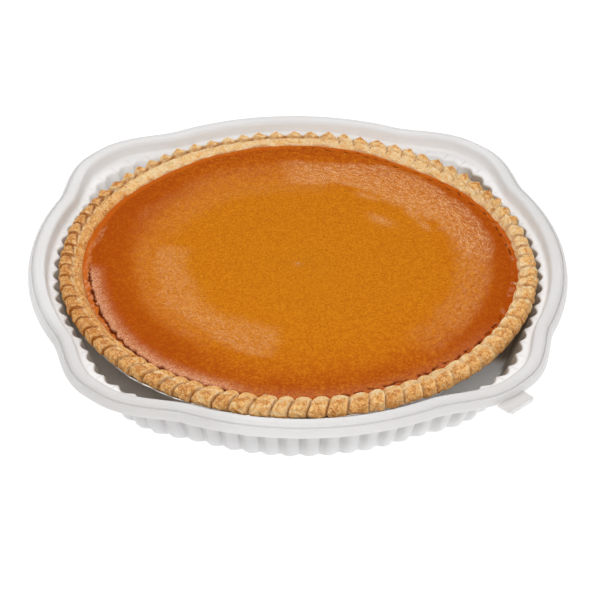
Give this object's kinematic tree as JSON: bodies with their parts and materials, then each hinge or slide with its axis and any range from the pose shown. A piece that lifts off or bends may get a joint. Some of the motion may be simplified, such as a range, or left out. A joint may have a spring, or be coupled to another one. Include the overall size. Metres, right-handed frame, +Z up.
{
  "type": "pumpkin pie in a foil pan and plastic tray",
  "caption": "Whole baked pumpkin pie with a crimped pastry rim, in a foil pan that stands in a white fluted tray with lobed corners and a pull tab.",
  "frame": {"origin": "on the surface under the tray, on the tray's axis", "axes": "+Z up out of the pie; X and Y run to the middles of the tray's plain sides, with the lobes between them and the pull tab on the lobe towards +X and -Y"},
  "size_m": [0.3444, 0.3444, 0.0465],
  "materials": {
    "white_plastic": "thin white thermoformed plastic with a soft sheen",
    "aluminium_foil": "bright pressed foil",
    "baked_pastry": "matt golden-brown baked shortcrust",
    "pumpkin_custard": "amber-orange baked custard with a soft skin-like sheen, redder near its edge"
  },
  "bodies": {
    "root": {"tray": "white_plastic", "foil_pan": "aluminium_foil", "crust": "baked_pastry", "filling": "pumpkin_custard"}
  },
  "joints": []
}
